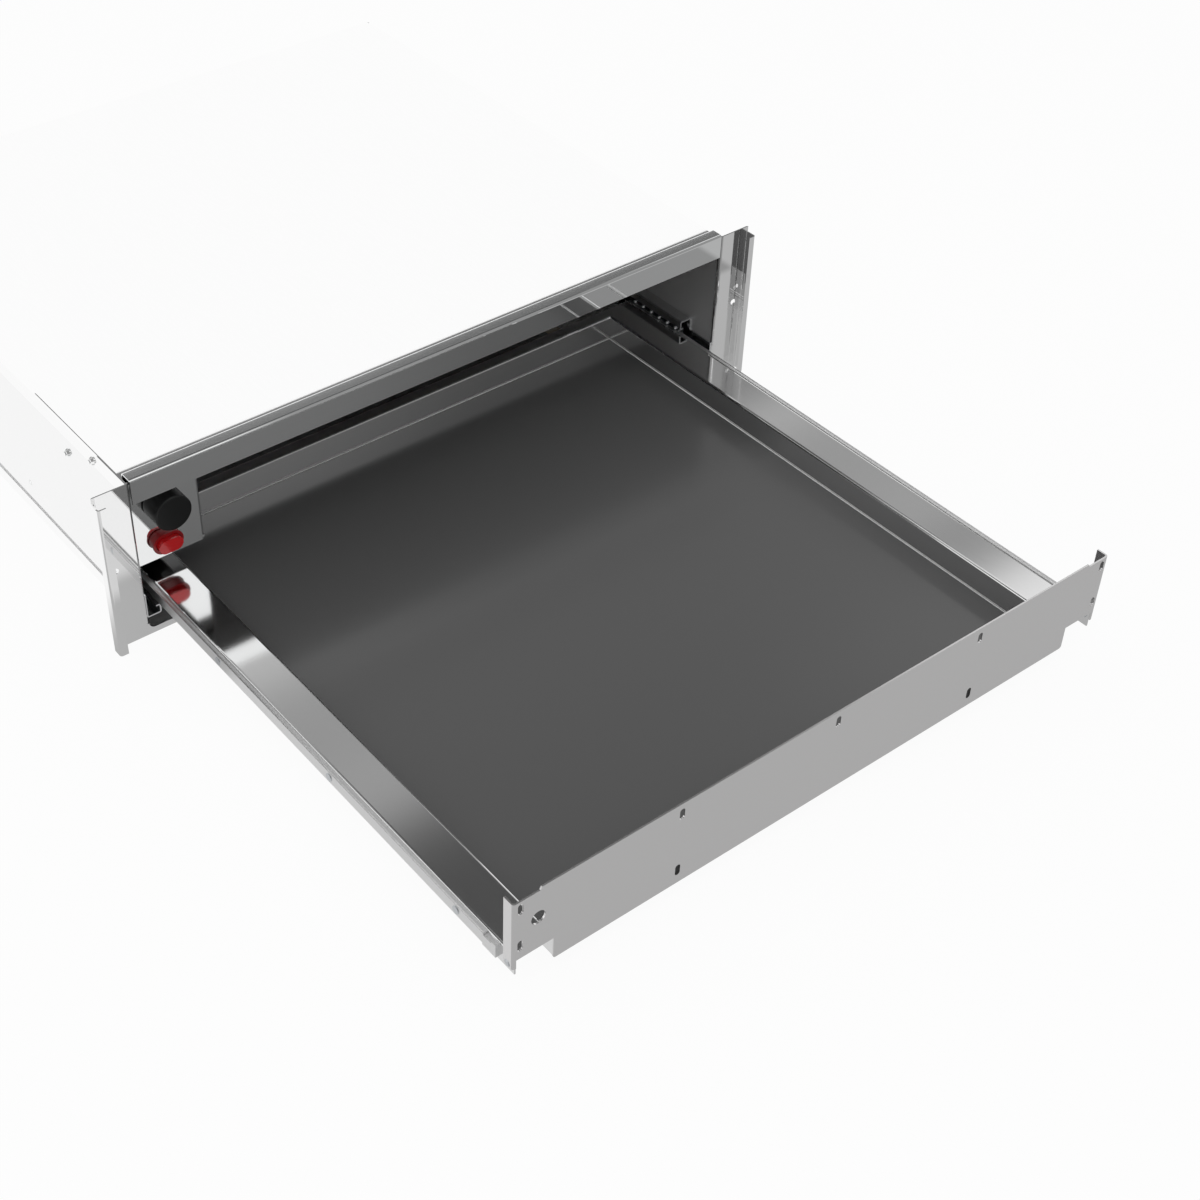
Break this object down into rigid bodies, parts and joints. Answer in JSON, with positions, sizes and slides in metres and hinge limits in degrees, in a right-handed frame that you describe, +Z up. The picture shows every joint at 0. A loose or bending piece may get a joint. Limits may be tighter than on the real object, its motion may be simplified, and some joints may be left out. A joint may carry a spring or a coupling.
{
  "type": "built in warming drawer",
  "caption": "Built-in warming drawer: flanged steel housing, glass-bottomed tray on ball runners, rotary thermostat and lit push button, front plate slotted for a furniture front.",
  "frame": {"origin": "middle of the base's front edge, on its underside, in the plane of the front faces of the side flanges", "axes": "+X to the right seen from the front, +Y into the cabinet, +Z up; the drawer opens along -Y"},
  "size_m": [0.596, 0.9196, 0.138],
  "materials": {
    "satin_steel": "satin",
    "polished_steel": "polished",
    "galvanised_steel": "galvanised",
    "zinc_plated_steel": "zinc plated",
    "bearing_steel": "polished",
    "aluminium_sheet": "mill",
    "copper": "drawn",
    "dark_glass": "polished",
    "black_plastic": "satin",
    "black_rubber": "matte",
    "red_lens": "translucent",
    "red_plastic": "gloss",
    "white_nylon": "moulded",
    "natural_polymer": "moulded",
    "insulation": "pressed mineral fibre",
    "silicone": "matte"
  },
  "bodies": {
    "housing": {"housing_base": "galvanised_steel", "housing_left_side": "satin_steel", "housing_right_side": "satin_steel", "housing_back": "galvanised_steel", "housing_cover": "galvanised_steel", "front_top_rail": "satin_steel", "housing_screws": "zinc_plated_steel", "insulation_board": "insulation", "heating_plate": "aluminium_sheet", "heating_element": "silicone", "heater_lead": "silicone", "terminal_block": "white_nylon", "wiring_harness": "black_plastic", "cable_bush": "black_rubber", "rear_bumpers": "black_rubber", "control_box": "satin_steel", "control_box_screw": "zinc_plated_steel", "thermostat_body": "natural_polymer", "thermostat_nut": "zinc_plated_steel", "capillary_tube": "copper", "sensor_bulb": "copper", "bulb_clips": "zinc_plated_steel", "switch_body": "black_plastic", "switch_collar": "red_plastic", "button_spring": "zinc_plated_steel", "left_fixed_rail": "zinc_plated_steel", "right_fixed_rail": "zinc_plated_steel", "rail_screws": "zinc_plated_steel", "rail_stops": "white_nylon"},
    "drawer": {"drawer_tray": "polished_steel", "glass_base": "dark_glass", "glass_seal": "black_rubber", "front_plate": "satin_steel", "plate_packings": "zinc_plated_steel", "front_plate_rivets": "zinc_plated_steel", "left_sliding_bar": "zinc_plated_steel", "right_sliding_bar": "zinc_plated_steel", "bar_rivets": "zinc_plated_steel", "bar_stops": "black_rubber"},
    "left_cage": {"left_ball_cage": "zinc_plated_steel", "left_balls": "bearing_steel"},
    "right_cage": {"right_ball_cage": "zinc_plated_steel", "right_balls": "bearing_steel"},
    "knob": {"thermostat_shaft": "zinc_plated_steel", "control_knob": "black_plastic"},
    "button": {"power_button": "red_lens"}
  },
  "joints": [
    {"name": "drawer_slide", "type": "slide", "parent": "housing", "child": "drawer", "axis": [0, -1, 0], "range_m": [-0.4, 0]},
    {"name": "left_cage_slide", "type": "slide", "parent": "housing", "child": "left_cage", "axis": [0, -1, 0], "range_m": [-0.2, 0]},
    {"name": "right_cage_slide", "type": "slide", "parent": "housing", "child": "right_cage", "axis": [0, -1, 0], "range_m": [-0.2, 0]},
    {"name": "knob_turn", "type": "hinge", "parent": "housing", "child": "knob", "pos_m": [-0.23775, 0.011, 0.09451], "axis": [0, 1, 0], "range_deg": [0, 270]},
    {"name": "button_press", "type": "slide", "parent": "housing", "child": "button", "axis": [0, 1, 0], "range_m": [0, 0.0025], "stiffness_N_per_m": 600, "springref_m": -0.002, "deforming": ["button_spring"]}
  ],
  "couplings": [
    {"joint": "left_cage_slide", "follows": "drawer_slide", "ratio": 0.5},
    {"joint": "right_cage_slide", "follows": "drawer_slide", "ratio": 0.5}
  ]
}
